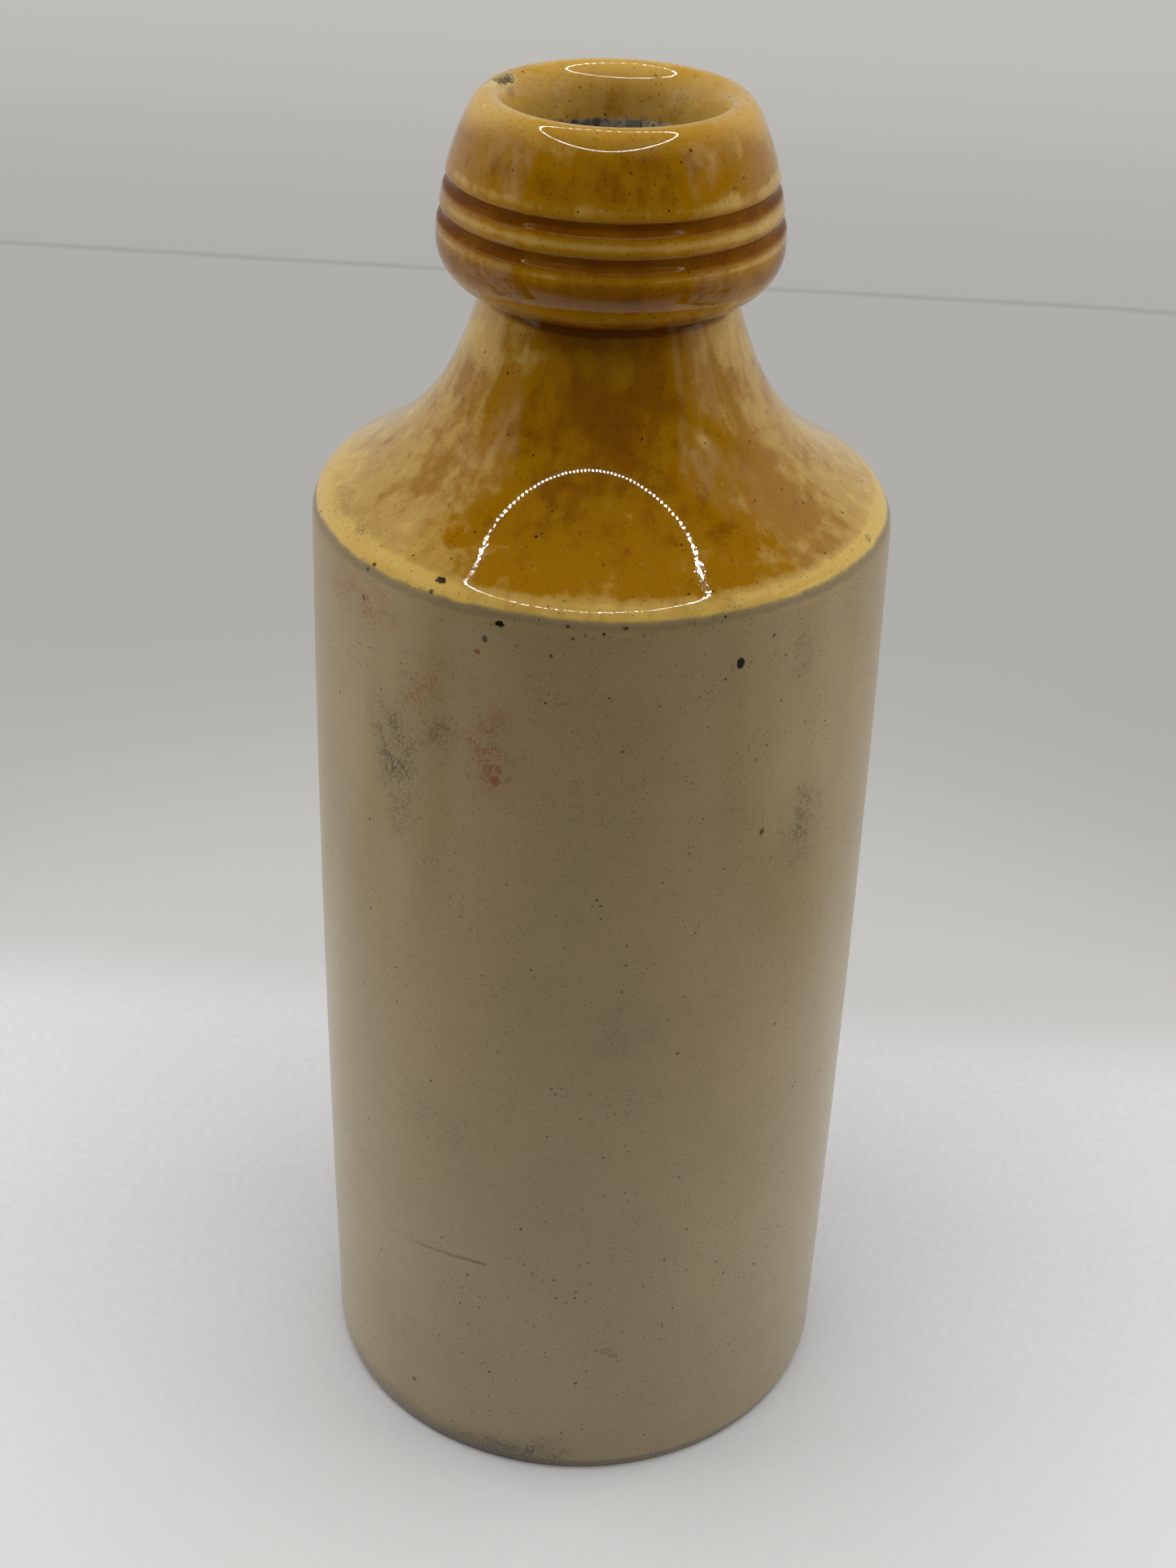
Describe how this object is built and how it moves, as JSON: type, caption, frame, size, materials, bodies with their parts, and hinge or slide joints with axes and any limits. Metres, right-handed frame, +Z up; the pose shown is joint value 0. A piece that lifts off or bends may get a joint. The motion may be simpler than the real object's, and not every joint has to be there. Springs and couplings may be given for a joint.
{
  "type": "stoneware ginger beer bottle",
  "caption": "One-piece stoneware bottle with a straight body, hollow-curved amber shoulder and neck, a bulging grooved collar and a flared cork mouth.",
  "frame": {"origin": "centre of the flat base, at floor level", "axes": "+Z up along the bottle's axis; the front that the picture shows faces -Y, so the rim chip lies at the back left, toward -X and +Y"},
  "size_m": [0.0684, 0.0684, 0.173],
  "materials": {
    "glazed_stoneware": "two glazes: glossy amber from the lip to the shoulder edge, satin greige below"
  },
  "bodies": {
    "root": {"bottle": "glazed_stoneware"}
  },
  "joints": []
}
